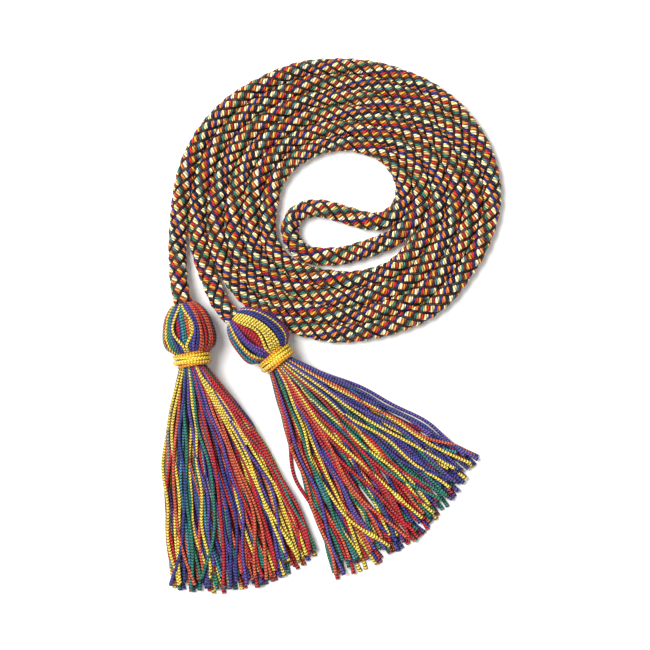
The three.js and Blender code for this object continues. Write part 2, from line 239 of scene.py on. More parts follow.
def smooth_route(points, steps):
    """A centripetal Catmull-Rom curve through points, which may carry more columns than a place."""
    ends = (2 * points[:1] - points[1:2], 2 * points[-1:] - points[-2:-1])
    p = np.concatenate([ends[0], points, ends[1]])
    gap = np.sqrt(np.linalg.norm(np.diff(p[:, :3], axis=0), axis=1))[:, None]
    p0, p1, p2, p3 = p[:-3], p[1:-2], p[2:-1], p[3:]
    d0, d1, d2 = gap[:-2], gap[1:-1], gap[2:]
    t1 = ((p1 - p0) / d0 - (p2 - p0) / (d0 + d1) + (p2 - p1) / d1) * d1
    t2 = ((p2 - p1) / d1 - (p3 - p1) / (d1 + d2) + (p3 - p2) / d2) * d1
    t = (np.arange(steps) / steps)[None, :, None]
    p1, p2, t1, t2 = (a[:, None, :] for a in (p1, p2, t1, t2))
    curve = p1 + t1 * t + (3 * (p2 - p1) - 2 * t1 - t2) * t**2 + (2 * (p1 - p2) + t1 + t2) * t**3
    return np.concatenate([curve.reshape(-1, points.shape[1]), points[-1:]])


def evenly_spaced(points, count):
    """The same curve with its points at even distances, and how far along each one is."""
    steps = np.linalg.norm(np.diff(points[:, :3], axis=0), axis=1)
    along = np.concatenate([[0], np.cumsum(steps)])
    even = np.linspace(0, along[-1], count)
    return np.stack([np.interp(even, along, column) for column in points.T], axis=1), even


# The rope is a soft round sleeve. Sixteen coloured yarns wind slowly one way round a core, which is dark as
# painted shade for the gaps between them, and four thin dark threads wind the other way over them and pull
# them in, so that they stand up as rows of pillows
YARN_LEAD = 44 * MM
BINDING_LEAD = 21.2 * MM
BINDING_COUNT = 4
YARN_THICKNESS = 1.3 * MM
PILLOW_DEPTH = 1.35 * MM
PILLOW_SHARPNESS = 2.8
YARN_MARGIN = 1 * MM
YARNS_IN_PIECE = 4
YARN_PIECES = ("first", "second", "third", "fourth")
# Each yarn's dye and its share of the way round, in the order in which they lie
YARN_DYES = (
    ("#E27C2E", 1.05), ("#1F2684", 0.90), ("#FFE79A", 1.20), ("#B0231E", 0.95),
    ("#E6BC6E", 1.05), ("#2A7D68", 0.80), ("#4A1618", 0.90), ("#DE8038", 1.00),
    ("#FFEBB4", 1.20), ("#181E66", 0.90), ("#C8281F", 0.90), ("#E6A636", 1.00),
    ("#6A1E20", 0.85), ("#3A7F86", 0.75), ("#FFE8A6", 1.20), ("#14143C", 1.00),
)
# Where the sections fall between one binding thread and the next, and how far each one is swung round the
# rope, as a share of SWING_TURNS, which makes the pillows lean
ROW_STEPS = (0, 0.12, 0.29, 0.5, 0.71, 0.88)
ROW_SWING = (0, 0.50, 0.28, 0, -0.28, -0.50)
SWING_TURNS = 0.05
# Each section's corners, from its underside round: the share of the yarn's half width to the side, and the
# share of its thickness below its crest
YARN_CORNERS = ((0, 0.9), (-1, 0.24), (-0.62, 0.05), (0, 0), (0.62, 0.05), (1, 0.24))


def thread_object(name, grid, dyes, uvs, material):
    """A mesh of closed tubes. The grid holds tubes, sections and corners, the rest goes by face corner."""
    tubes, sections, corners, _ = grid.shape
    index = np.arange(tubes * sections * corners).reshape(tubes, sections, corners)
    around = np.roll(index, -1, axis=2)
    sides = np.stack([index[:, :-1], around[:, :-1], around[:, 1:], index[:, 1:]], axis=-1)
    mesh = bpy.data.meshes.new(name)
    ends = np.concatenate([index[:, 0, ::-1], index[:, -1, :]])
    loops = np.concatenate([sides.ravel(), ends.ravel()])
    sizes = np.concatenate([np.full(sides.size // 4, 4), np.full(len(ends), corners)])
    mesh.vertices.add(index.size)
    mesh.vertices.foreach_set("co", grid.astype(np.float32).ravel())
    mesh.loops.add(len(loops))
    mesh.loops.foreach_set("vertex_index", loops.astype(np.int32))
    mesh.polygons.add(len(sizes))
    mesh.polygons.foreach_set("loop_start", (np.cumsum(sizes) - sizes).astype(np.int32))
    mesh.polygons.foreach_set("use_smooth", np.ones(len(sizes), bool))
    end_corners = len(ends) * corners
    dye = mesh.attributes.new("dye", "FLOAT_COLOR", "CORNER")
    end_dyes = np.repeat(np.concatenate([dyes[:, 0, :1, 0], dyes[:, -1, :1, 0]]), corners, axis=0)
    dye.data.foreach_set("color", np.concatenate([dyes.reshape(-1, 4), end_dyes.reshape(-1, 4)]).ravel())
    uv = mesh.uv_layers.new(name="along_yarn")
    end_uvs = np.tile((0, 0.5), (end_corners, 1))
    uv.data.foreach_set("uv", np.concatenate([uvs.reshape(-1, 2), end_uvs]).ravel())
    mesh.update(calc_edges=True)
    mesh.validate()
    mesh.materials.append(material)
    made = bpy.data.objects.new(name, mesh)
    bpy.context.scene.collection.objects.link(made)
    return made


# Rayon yarn: slightly shiny, softly lit at its edges by its short fibres, with lines across it where its
# single threads lie side by side, painted shade in their troughs and a painted highlight on their crests,
# with painted shade along its sides, and with lighter and darker streaks along it, partly the fibres' own
# tone and partly painted sheen
STREAKS_ACROSS = 2.6


def yarn_material(
    name,
    line_pitch,
    slant,
    line_depth,
    line_painted_shade,
    tone,
    edge_painted_shade,
    crest_painted_highlight,
    streak,
    fibre_tone_and_painted_sheen,
    chevron=False,
):
    """Dyed yarn, coloured by the dye on each face, with lines across it that the yarn's own map places.

    The pitch of the lines and the length of a streak are in the map's unit. The slant is how many lines
    further on a line is when it has crossed the yarn, and a chevron's lines lean back from its middle. The
    lines are painted shade in their troughs and a painted highlight on their crests, the yarn's sides are
    darkened as painted shade, and its streaks are partly the fibres' own tone and partly painted sheen.
    """
    made = bpy.data.materials.new(name)
    made.use_nodes = True
    tree = made.node_tree
    shader = tree.nodes["Principled BSDF"]
    dye = add_node(tree, "ShaderNodeAttribute", {"attribute_name": "dye"})
    place = add_node(tree, "ShaderNodeUVMap", {"uv_map": "along_yarn"})
    axes = add_node(tree, "ShaderNodeSeparateXYZ", links={0: place.outputs[0]})
    from_middle = add_node(tree, "ShaderNodeMath", {"operation": "SUBTRACT", 1: 0.5}, {0: axes.outputs["Y"]})
    to_side = add_node(tree, "ShaderNodeMath", {"operation": "ABSOLUTE"}, {0: from_middle.outputs[0]})
    across = to_side if chevron else from_middle
    lean = add_node(tree, "ShaderNodeMath", {"operation": "MULTIPLY", 1: slant}, {0: across.outputs[0]})
    along = add_node(tree, "ShaderNodeMath", {"operation": "DIVIDE", 1: line_pitch}, {0: axes.outputs["X"]})
    phase = add_node(tree, "ShaderNodeMath", {"operation": "ADD"}, {0: along.outputs[0], 1: lean.outputs[0]})
    turns = add_node(tree, "ShaderNodeMath", {"operation": "MULTIPLY", 1: 2 * math.pi}, {0: phase.outputs[0]})
    wave = add_node(tree, "ShaderNodeMath", {"operation": "SINE"}, {0: turns.outputs[0]})
    # Painted shade in the troughs of the lines
    shade = add_node(
        tree,
        "ShaderNodeMapRange",
        {"From Min": -1, "From Max": 0.1, "To Min": 1 - line_painted_shade, "To Max": 1},
        {"Value": wave.outputs[0]},
    )
    # A painted highlight on the crests of the lines
    crest = add_node(
        tree,
        "ShaderNodeMapRange",
        {"From Min": 0.2, "From Max": 1, "To Min": 0, "To Max": crest_painted_highlight},
        {"Value": wave.outputs[0]},
    )
    shade = add_node(tree, "ShaderNodeMath", {"operation": "ADD"}, {0: shade.outputs[0], 1: crest.outputs[0]})
    # Lighter and darker streaks, partly the fibres' own tone and partly painted sheen
    stretched = add_node(
        tree,
        "ShaderNodeVectorMath",
        {"operation": "MULTIPLY", 1: (1 / streak, STREAKS_ACROSS, 0)},
        {0: place.outputs[0]},
    )
    fibres = add_node(
        tree,
        "ShaderNodeTexNoise",
        {"Scale": 1, "Detail": 2, "Roughness": 0.6},
        {"Vector": stretched.outputs[0]},
    )
    fibre_and_sheen_streaks = add_node(
        tree,
        "ShaderNodeMapRange",
        {"From Min": 0.3, "From Max": 0.7, "To Min": (1 - fibre_tone_and_painted_sheen) * tone, "To Max": (1 + fibre_tone_and_painted_sheen) * tone},
        {"Value": fibres.outputs[0]},
    )
    # Painted shade along the yarn's sides, where it meets the next one
    edge = add_node(
        tree,
        "ShaderNodeMapRange",
        {"From Min": 0.2, "From Max": 0.45, "To Min": 1, "To Max": 1 - edge_painted_shade},
        {"Value": to_side.outputs[0]},
    )
    lined = add_node(
        tree,
        "ShaderNodeMath",
        {"operation": "MULTIPLY"},
        {0: shade.outputs[0], 1: edge.outputs[0]},
    )
    both = add_node(
        tree,
        "ShaderNodeMath",
        {"operation": "MULTIPLY"},
        {0: lined.outputs[0], 1: fibre_and_sheen_streaks.outputs[0]},
    )
    toned = add_node(
        tree,
        "ShaderNodeVectorMath",
        {"operation": "SCALE"},
        {0: dye.outputs["Color"], "Scale": both.outputs[0]},
    )
    tree.links.new(toned.outputs[0], shader.inputs["Base Color"])
    bump = add_node(
        tree,
        "ShaderNodeBump",
        {"Strength": 0.8, "Distance": line_depth},
        {"Height": wave.outputs[0]},
    )
    tree.links.new(bump.outputs[0], shader.inputs["Normal"])
    shader.inputs["Roughness"].default_value = 0.45
    shader.inputs["Specular IOR Level"].default_value = 0.3
    shader.inputs["Sheen Weight"].default_value = 0.06
    shader.inputs["Sheen Roughness"].default_value = 0.4
    return made


# A rope yarn's map is counted in rows of pillows. Its single threads are finer than the render can show,
# so about two lines of painted shade, with painted highlights between them, are drawn on each pillow, and
# they run on from one yarn to the next
LINE_LEAN = 2.25
STREAK_ROWS = 0.9
rayon_yarn = yarn_material(
    "dyed_rayon_yarn",
    line_pitch=1,
    slant=LINE_LEAN,
    line_depth=0.2 * MM,
    line_painted_shade=0.65,
    tone=0.88,
    edge_painted_shade=0.9,
    crest_painted_highlight=0.5,
    streak=STREAK_ROWS,
    fibre_tone_and_painted_sheen=0.55,
)

# Only the crests of the yarns reach the rope's width, so the sleeve is drawn a little wider than it is high
ROPE_FILL = 1.12
ROUTE_PITCH = 0.3 * MM
ROUTE_STEPS = 24
dense_route = smooth_route(route_points, ROUTE_STEPS)
rope_length = float(np.linalg.norm(np.diff(dense_route[:, :3], axis=0), axis=1).sum())
route, route_along = evenly_spaced(dense_route, int(rope_length / ROUTE_PITCH))
route_width = route[:, 3] / ROPE_WIDTH
route = route[:, :3]
route_ahead = np.gradient(route, route_along, axis=0)
route_ahead /= np.linalg.norm(route_ahead, axis=1)[:, None]
route_across = np.stack([-route_ahead[:, 1], route_ahead[:, 0], np.zeros(len(route))], axis=1)
route_across /= np.linalg.norm(route_across, axis=1)[:, None]
route_up = np.cross(route_ahead, route_across)


def on_rope(along, radius, turns):
    """Places on the rope: how far along, how far from its middle, and turned right from its left side."""
    along, radius, turns = np.broadcast_arrays(along, radius, turns)
    angle = 2 * math.pi * turns
    width = ROPE_FILL * np.interp(along, route_along, route_width)
    level, upright = radius * np.cos(angle) * width, radius * np.sin(angle)
    axes = [
        np.stack([np.interp(along, route_along, column) for column in table.T], axis=-1)
        for table in (route, route_across, route_up)
    ]
    return axes[0] + axes[1] * level[..., None] + axes[2] * upright[..., None]


def corner_uvs(lengths, corners, lobe):
    """Where each face corner is on its yarn: how far along, and its share of the way across."""
    tubes, sections = lengths.shape
    u0, u1 = lengths[:, :-1, None], lengths[:, 1:, None]
    start = (np.arange(corners) % lobe) / lobe
    end = start + 1 / lobe
    u = np.stack(np.broadcast_arrays(u0, u0, u1, u1), axis=-1)
    u = np.broadcast_to(u, (tubes, sections - 1, corners, 4))
    v = np.broadcast_to(np.stack([start, end, end, start], axis=-1), u.shape)
    return np.stack([u, v], axis=-1)


def corner_dyes(colours, sections, corners):
    """The dye at each face corner, from one colour for each tube or one for each section of each tube."""
    colours = np.asarray(colours, float)
    if colours.ndim == 2:
        colours = np.repeat(colours[:, None], sections, axis=1)
    before, after = colours[:, :-1, None], colours[:, 1:, None]
    dyes = np.stack([before, before, after, after], axis=3)
    return np.broadcast_to(dyes, (len(colours), sections - 1, corners, 4, 4))


def rope_piece(name, grid, dyes, uvs):
    """One piece of the rope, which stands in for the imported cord."""
    made = thread_object(name, grid, dyes, uvs, rayon_yarn)
    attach(made, "root")
    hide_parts("cord")
    return made


# A yarn's place round the rope is counted in turns from the rope's left side. Rows are counted from one
# crossing of a binding thread to the next. Each yarn's map starts many rows further on than the one before,
# so that no two have the same streaks, and by a line's lean more, so that the lines run on between them
ROWS_APART = 1000
yarn_shares = np.array([share for _, share in YARN_DYES])
yarn_edges = np.concatenate([[0], np.cumsum(yarn_shares)]) / yarn_shares.sum()
yarn_middles = (yarn_edges[1:] + yarn_edges[:-1]) / 2
meeting_lead = 1 / (1 / YARN_LEAD + 1 / BINDING_LEAD)


def yarn_tube(yarn):
    """The grid and the row numbers of one yarn's sections."""
    middle = yarn_middles[yarn]
    half = (yarn_edges[yarn + 1] - yarn_edges[yarn]) / 2
    first = math.ceil((YARN_MARGIN / meeting_lead - middle + half) * BINDING_COUNT)
    last = math.floor(((rope_length - YARN_MARGIN) / meeting_lead - middle - half) * BINDING_COUNT)
    rows = last - first
    row = (first + np.arange(rows)[:, None] + np.array(ROW_STEPS)[None, :]).ravel()
    to_crossing = np.abs(row - np.round(row))
    crest = ROPE_WIDTH / 2 - PILLOW_DEPTH * (1 - 2 * to_crossing) ** PILLOW_SHARPNESS
    sideways, below = np.array(YARN_CORNERS).T
    swing = np.tile(ROW_SWING, rows) * SWING_TURNS
    turns = middle + half * sideways[None, :] + swing[:, None]
    along = (row[:, None] / BINDING_COUNT + turns) * meeting_lead
    radius = crest[:, None] - below[None, :] * YARN_THICKNESS
    return on_rope(along, radius, turns - along / YARN_LEAD), row


for number, piece_name in enumerate(YARN_PIECES):
    members = range(number * YARNS_IN_PIECE, (number + 1) * YARNS_IN_PIECE)
    tubes = [yarn_tube(yarn) for yarn in members]
    shortest = min(len(row) for _, row in tubes)
    tubes = [(tube[:shortest], row[:shortest]) for tube, row in tubes]
    grid = np.stack([tube for tube, _ in tubes])
    starts = np.array(members)[:, None] * (ROWS_APART + LINE_LEAN)
    rows = np.stack([row for _, row in tubes]) + starts
    colours = np.array([linear_colour(YARN_DYES[yarn][0]) for yarn in members])
    dyes = corner_dyes(colours, grid.shape[1], len(YARN_CORNERS))
    uvs = corner_uvs(rows, len(YARN_CORNERS), len(YARN_CORNERS))
    rope_piece(f"rope_{piece_name}_yarns", grid, dyes, uvs)

# Each binding thread is a flat band of three fine strands, nearly all of them black or brown, and lies in
# the furrow that it pulls in. Its lines of painted shade, with painted highlights between them, are a few
# millimetres apart
BINDING_DYES = (
    ("#2A0C10", "#5A4632", "#0A080C"),
    ("#08070C", "#141020", "#4A1614"),
    ("#2A1208", "#3E4A4A", "#0A080B"),
    ("#0A080B", "#6A2420", "#100C18"),
)
BINDING_STEP = 0.95 * MM
BINDING_DEPTH = 0.74 * MM
STRANDS_APART = 0.36 * MM
STRAND_RADIUS = 0.24 * MM
STRAND_HEIGHT = 0.30 * MM
STRAND_CORNERS = ((-1, 0), (0, 1), (1, 0), (0, -1))
ROPE_MARGIN = 0.5 * MM
LINES_APART = 4 * MM

steps = np.arange(ROPE_MARGIN, rope_length - ROPE_MARGIN, BINDING_STEP)
middle = ROPE_WIDTH / 2 - BINDING_DEPTH
slope = math.atan2(2 * math.pi * middle, BINDING_LEAD)
sideways, above = np.array(STRAND_CORNERS).T[:, None] * [[[STRAND_RADIUS]], [[STRAND_HEIGHT]]]
strips = []
for number in range(BINDING_COUNT):
    turns = steps[:, None] / BINDING_LEAD - number / BINDING_COUNT
    for strand in (-1, 0, 1):
        ahead = sideways + strand * STRANDS_APART
        around = turns + ahead * math.cos(slope) / (2 * math.pi * middle)
        strips.append(on_rope(steps[:, None] - ahead * math.sin(slope), middle + above, around))
grid = np.stack(strips)
lengths = np.broadcast_to(steps / LINES_APART, (len(grid), len(steps)))
colours = np.array([linear_colour(dye) for thread_dyes in BINDING_DYES for dye in thread_dyes])
dyes = corner_dyes(colours, len(steps), len(STRAND_CORNERS))
uvs = corner_uvs(lengths, len(STRAND_CORNERS), len(STRAND_CORNERS))
rope_piece("rope_binding_threads", grid, dyes, uvs)

# The core is a plain dark cord that fills the rope under the yarns. Its dark colour is painted shade for the
# gaps between the yarns, where it shows
CORE_RADIUS = 2.0 * MM
CORE_CORNERS = 10
CORE_STEP = 1.2 * MM
CORE_SHADE_DYE = "#1E1216"

steps = np.arange(ROPE_MARGIN, rope_length - ROPE_MARGIN, CORE_STEP)
around = np.arange(CORE_CORNERS) / CORE_CORNERS
grid = on_rope(steps[:, None], CORE_RADIUS, around[None, :])[None]
dyes = corner_dyes(np.array([linear_colour(CORE_SHADE_DYE)]), len(steps), CORE_CORNERS)
uvs = corner_uvs((steps / LINES_APART)[None], CORE_CORNERS, CORE_CORNERS)
rope_piece("rope_core", grid, dyes, uvs)


# Each tassel is a hank of knitted threads laid over the rope's end. Above the tie they bulge round it as
# the head, and below it they spread over the surface as the skirt
HEAD_WIDTH = 20 * MM
SKIRT_LENGTH = 84.4 * MM
WAIST_WIDTH = 11.4 * MM
WAIST_HEIGHT = 9.6 * MM
THREAD_WIDTH = 1.3 * MM
THREAD_CORNERS = 8
FLOOR_GAP = 0.02 * MM
# How much further along each thread's map starts than the one before, in metres, so that no two threads
# have the same streaks side by side
THREAD_APART = 0.31
# A head thread's way from inside the head up to its neck, over the fold there and down to its waist: how
# far it is from the neck, at 0, to the tie, at 1, and how far out, as a share of the head's half width
HEAD_FOLD = ((0.20, 0.335), (0.10, 0.34), (0.035, 0.36), (0.045, 0.42), (0.09, 0.535))
HEAD_PROFILE = ((0.24, 0.82), (0.46, 0.95), (0.68, 1.00), (0.86, 0.93), (0.97, 0.74))
WAIST_SECTIONS = 8
HIDDEN_HEAD_THREADS = 12
HIDDEN_DYES = "rgvno"
# The skirt's left and right edges: the point that each bows towards and the point where it ends, as shares
# of the skirt's length, and how far the middle threads reach past a straight line between the ends
SKIRT_EDGES = {
    "left": (((-0.194, -0.438), (-0.160, -0.989)), ((0.357, -0.441), (0.471, -0.905))),
    "right": (((-0.180, -0.390), (-0.322, -0.940)), ((0.307, -0.430), (0.468, -0.861))),
}
SKIRT_BULGE = {"left": 0.075, "right": 0.1}
# The skirt's lower threads lie in layers, and the top one reaches a little less far than the bottom one
SKIRT_COUNT = 130
SKIRT_LAYERS = 3
LAYER_RISE = 0.95 * MM
LAYER_REACH = (1.0, 0.98, 0.95)
REACH_SPREAD = 0.018
LONGEST_REACH = 1.01
# How much the lower threads wander, as a share of the skirt's width: at the tie, at one third, at two
# thirds and at the end, and how much every thread ripples. The curve that joins a thread's places takes
# them on a smaller scale
WANDER = 0.032 * np.array([0.3, 1, 0.9, 0.5])
RIPPLE = 0.013
WANDER_SCALE = 0.2
# The maroon, m, is used only for the deeper threads in the right head's parting, as painted shade for its
# hollow
THREAD_DYES = {
    "y": "#DFC04A", "r": "#B4212B", "o": "#C4573A", "g": "#287260", "t": "#3D7F92",
    "n": "#34387E", "v": "#564292", "p": "#6B3A86", "m": "#741B2A", "s": "#76827A",
}
# The threads' colours from left to right, as the photograph shows them: on the head, and on the skirt
HEAD_COLOURS = {"left": "tgyoyggnnyynvnooroorrtg", "right": "rrrtttoynvpyyyyynnnyvrrv"}
SKIRT_COLOURS = {
    "left": "sgynogtgonygrtnsvgornoryggorrnvgoryorgr",
    "right": "gogrogtyovrogrngyrorgnrogyrngtnvgnynvtn",
}
# How many of the skirt's threads take another colour instead, in the hidden layers and in the one on top
SWAPPED_HIDDEN = 0.5
SWAPPED_SHOWN = 0.1
SWAPPED_DYES = "rgvnyop"
# A parting in each head near its neck, where deeper threads show: its angle from the right edge over the
# top, and how far the threads beside it are pushed away, both in radians, and the colours inside. Then how
# far to each side the deeper threads lie and the push is felt, in radians, and how far out they lie
# The right head's deeper threads are mostly maroon, painted shade for the hollow of its parting
HEAD_PARTINGS = {"left": (1.80, 0.46, "yoogtnrr"), "right": (1.66, 0.30, "pmmrrrmr")}
PARTING_HALF_WIDTH = 0.4
PARTING_DEPTH = 0.76
# The loose threads on top of each skirt: colour, reach, and where the thread is between the skirt's left
# edge, 0, and its right edge, 1, at the tie, at one third, at two thirds and at its end
TOP_THREADS = {
    "left": (
        ("y", 0.99, 0.06, -0.03, 0.00, 0.03), ("y", 0.98, 0.14, 0.04, 0.11, 0.05),
        ("g", 0.96, 0.20, 0.20, 0.18, 0.15), ("n", 0.99, 0.24, 0.14, 0.16, -0.01),
        ("y", 0.93, 0.36, 0.33, 0.29, 0.27), ("g", 0.95, 0.40, 0.37, 0.41, 0.22),
        ("r", 0.98, 0.50, 0.46, 0.45, 0.34), ("n", 0.99, 0.44, 0.47, 0.48, 0.41),
        ("n", 0.97, 0.50, 0.52, 0.54, 0.46), ("v", 0.99, 0.55, 0.58, 0.60, 0.50),
        ("r", 0.98, 0.60, 0.55, 0.64, 0.63), ("o", 0.97, 0.66, 0.62, 0.68, 0.59),
        ("o", 0.99, 0.70, 0.66, 0.71, 0.66), ("y", 0.42, 0.62, 0.74, 0.80, 0.84),
        ("y", 0.96, 0.60, 0.74, 0.77, 0.84), ("y", 0.98, 0.66, 0.77, 0.80, 0.88),
        ("v", 0.95, 0.78, 0.80, 0.87, 0.81), ("y", 0.97, 0.80, 0.86, 0.92, 0.96),
        ("r", 0.98, 0.84, 0.93, 0.97, 0.97), ("r", 0.96, 0.88, 0.97, 1.00, 0.99),
        ("r", 0.94, 0.80, 0.88, 0.95, 0.93), ("g", 0.97, 0.92, 0.90, 0.98, 1.00),
        ("v", 0.90, 0.30, 0.28, 0.34, 0.30), ("o", 0.98, 0.12, 0.10, 0.06, 0.16),
    ),
    "right": (
        ("o", 0.99, 0.05, 0.00, 0.02, 0.01), ("v", 1.00, 0.10, 0.05, 0.07, 0.04),
        ("g", 0.96, 0.22, 0.15, 0.13, 0.14), ("r", 0.80, 0.10, 0.03, -0.05, 0.04),
        ("y", 0.97, 0.34, 0.20, 0.14, 0.33), ("r", 0.98, 0.30, 0.30, 0.40, 0.52),
        ("r", 0.96, 0.34, 0.35, 0.47, 0.58), ("v", 0.97, 0.28, 0.26, 0.26, 0.30),
        ("o", 0.98, 0.40, 0.36, 0.33, 0.44), ("y", 0.96, 0.44, 0.40, 0.48, 0.60),
        ("r", 0.99, 0.42, 0.44, 0.52, 0.47), ("n", 0.95, 0.48, 0.50, 0.45, 0.40),
        ("y", 0.98, 0.50, 0.52, 0.62, 0.66), ("g", 0.97, 0.52, 0.56, 0.60, 0.72),
        ("r", 0.92, 0.56, 0.60, 0.56, 0.64), ("y", 0.97, 0.60, 0.66, 0.76, 0.80),
        ("n", 0.96, 0.66, 0.68, 0.70, 0.84), ("y", 0.94, 0.70, 0.76, 0.82, 0.92),
        ("v", 0.98, 0.74, 0.80, 0.88, 0.86), ("n", 0.96, 0.80, 0.86, 0.84, 0.92),
        ("y", 0.99, 0.82, 0.88, 0.93, 0.97), ("v", 1.00, 0.92, 1.04, 1.04, 1.01),
        ("n", 0.99, 0.90, 0.98, 1.00, 1.02), ("o", 0.98, 0.86, 0.90, 0.94, 1.03),
    ),
}

# A few yellow threads on top are knotted: how far along the skirt and how far across it each knot lies
KNOTS = {"left": ((0.32, 0.74), (0.73, 0.73), (0.90, 0.88)), "right": ((0.92, 0.42), (0.87, 0.58))}
KNOT_SWELL = (1.35, 1.9, 1.5)

# A knitted rayon thread shows its stitches as a row of small chevrons, drawn as painted shade in the gaps
# between stitches and painted highlights on their crests, with painted shade along the thread's sides. At
# their real size they would be too fine to show in the render, so they are drawn a little coarser
STITCH_PITCH = 1.1 * MM
STITCH_LEAN = 1.15
knitted_thread = yarn_material(
    "knitted_rayon_thread",
    line_pitch=STITCH_PITCH,
    slant=STITCH_LEAN,
    line_depth=0.2 * MM,
    line_painted_shade=0.85,
    tone=0.92,
    edge_painted_shade=0.9,
    crest_painted_highlight=0.6,
    streak=1.1 * MM,
    fibre_tone_and_painted_sheen=0.5,
    chevron=True,
)


def tube_grid(paths, sideways, breadth, depth, corners=THREAD_CORNERS):
    """Closed tubes along paths, with the first corner to the side given and the next ones outward."""
    ahead = np.gradient(paths, axis=1)
    ahead /= np.linalg.norm(ahead, axis=2)[..., None]
    side = sideways - ahead * (ahead * sideways).sum(axis=2)[..., None]
    side /= np.linalg.norm(side, axis=2)[..., None]
    out = np.cross(ahead, side)
    angle = 2 * math.pi * np.arange(corners) / corners
    across = side[:, :, None] * np.cos(angle)[:, None] * np.asarray(breadth)[..., None, None]
    outward = out[:, :, None] * np.sin(angle)[:, None] * np.asarray(depth)[..., None, None]
    return paths[:, :, None] + across + outward


def path_lengths(paths):
    """How far along its own path each section of each tube is."""
    steps = np.linalg.norm(np.diff(paths, axis=1), axis=2)
    return np.concatenate([np.zeros((len(paths), 1)), steps.cumsum(axis=1)], axis=1)


def to_world(places, side):
    """Places in the frame of a tassel's waist, turned and moved to where the tassel lies."""
    waist = necks[side][:2] - turned(np.array(TASSEL_NECKS[side]) * HEAD_LENGTH, TASSEL_TURNS[side])
    flat = turned(places[..., :2].reshape(-1, 2), TASSEL_TURNS[side]).reshape(*places.shape[:-1], 2) + waist
    return np.concatenate([flat, places[..., 2:]], axis=-1)


def to_world_ways(ways, side):
    """Directions in the frame of a tassel's waist, turned as the tassel lies."""
    flat = turned(ways[..., :2].reshape(-1, 2), TASSEL_TURNS[side]).reshape(*ways.shape[:-1], 2)
    return np.concatenate([flat, ways[..., 2:]], axis=-1)


def head_axis(side, t):
    """A place on the bent axis of a tassel's head and the direction there, from its neck to its tie."""
    neck = np.array(TASSEL_NECKS[side]) * HEAD_LENGTH
    bend = np.array([0, neck[1] * HEAD_BEND_SHARE])
    end = np.array([0, TIE_LENGTH / 2])
    t = np.asarray(t)[..., None]
    place = (1 - t) ** 2 * neck + 2 * t * (1 - t) * bend + t**2 * end
    ahead = 2 * (1 - t) * (bend - neck) + 2 * t * (end - bend)
    return place, ahead / np.linalg.norm(ahead, axis=-1)[..., None]


def smooth_step(x):
    """A smooth rise from 0, where x is 0 or less, to 1, where it is 1 or more."""
    x = np.clip(x, 0, 1)
    return x * x * (3 - 2 * x)


def head_threads(side, rng):
    """Paths over a tassel's head, round the fold at its neck and down to its waist, and their sides."""
    shown = len(HEAD_COLOURS[side])
    hidden = HIDDEN_HEAD_THREADS
    parting, push, inside_colours = HEAD_PARTINGS[side]
    over = math.pi * (1.03 - 1.06 * (np.arange(shown) + 0.5) / shown)
    under = -math.pi * (0.06 + 0.88 * (np.arange(hidden) + 0.5) / hidden)
    inner = parting + np.linspace(-PARTING_HALF_WIDTH, PARTING_HALF_WIDTH, len(inside_colours))
    angle = np.concatenate([over, under, inner])
    depth = np.concatenate([np.ones(shown + hidden), np.full(len(inner), PARTING_DEPTH)])
    names = HEAD_COLOURS[side] + "".join(rng.choice(list(HIDDEN_DYES), hidden)) + inside_colours
    down = [(along, reach - THREAD_WIDTH / HEAD_WIDTH) for along, reach in HEAD_PROFILE]
    way = np.array([*HEAD_FOLD, *down])
    curve = smooth_route(np.column_stack([way, np.zeros(len(way))]), 5)
    place, ahead = head_axis(side, curve[:, 0])
    across = np.stack([-ahead[:, 1], ahead[:, 0]], axis=1)
    waist = np.linspace(0.7, 0, WAIST_SECTIONS)[:, None] * TIE_LENGTH / 2
    place = np.concatenate([place, waist * (0, 1)])
    across = np.concatenate([across, np.broadcast_to((1, 0), (WAIST_SECTIONS, 2))])
    waist_reach = np.full(WAIST_SECTIONS, (WAIST_WIDTH - THREAD_WIDTH) / 2)
    waist_rise = np.full(WAIST_SECTIONS, (WAIST_HEIGHT - THREAD_WIDTH) / 2)
    reach = np.concatenate([curve[:, 1] * HEAD_WIDTH / 2, waist_reach])
    rise = np.concatenate([curve[:, 1] * HEAD_HEIGHT / 2, waist_rise])
    straight = np.zeros(WAIST_SECTIONS)
    bow = np.concatenate([np.sin(math.pi * np.clip(curve[:, 0], 0, 1)), straight])
    beside = (angle - parting)[:, None]
    felt = np.exp(-np.abs(beside) / PARTING_HALF_WIDTH) * (depth == 1)[:, None]
    parted = push * np.sign(beside) * felt
    lens = np.concatenate([np.sin(math.pi * np.clip(curve[:, 0] / 0.85, 0, 1)) ** 1.5, straight])
    turn = angle[:, None] + parted * lens + 0.04 * rng.standard_normal((len(angle), 1)) * bow
    loose = 1 + (0.02 * rng.standard_normal((len(angle), 1)) - 1 + depth[:, None]) * bow
    flat = place + across * (np.cos(turn) * reach * loose)[..., None]
    height = np.maximum(AXIS_HEIGHT + np.sin(turn) * rise * loose, 0.5 * THREAD_WIDTH)
    sides = np.concatenate([across * np.sin(turn)[..., None], -np.cos(turn)[..., None]], axis=2)
    return np.concatenate([flat, height[..., None]], axis=2), sides, names


